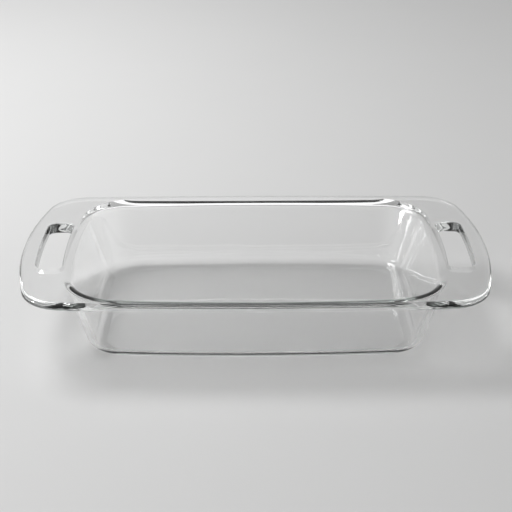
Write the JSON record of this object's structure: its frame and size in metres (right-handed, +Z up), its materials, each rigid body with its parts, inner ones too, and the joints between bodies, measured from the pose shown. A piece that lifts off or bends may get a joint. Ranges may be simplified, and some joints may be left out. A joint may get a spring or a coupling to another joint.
{
  "type": "glass baking dish",
  "caption": "Oblong clear-glass baking dish with bowed sides, a rolled rim and a flat handle plate with a grip opening at each end.",
  "frame": {"origin": "centre of the footprint, on the plane that the foot stands on", "axes": "+X along the dish's length towards the right handle, +Y across the dish towards its back long side, +Z up out of the basin's mouth"},
  "size_m": [0.394, 0.235, 0.063],
  "materials": {
    "clear_glass": "clear, fire-polished soda-lime glass, faintly grey-green through its thick edges"
  },
  "bodies": {
    "root": {"floor_plate": "clear_glass", "front_wall": "clear_glass", "back_wall": "clear_glass", "left_wall": "clear_glass", "right_wall": "clear_glass", "front_rim": "clear_glass", "back_rim": "clear_glass", "left_handle": "clear_glass", "right_handle": "clear_glass"}
  },
  "joints": []
}
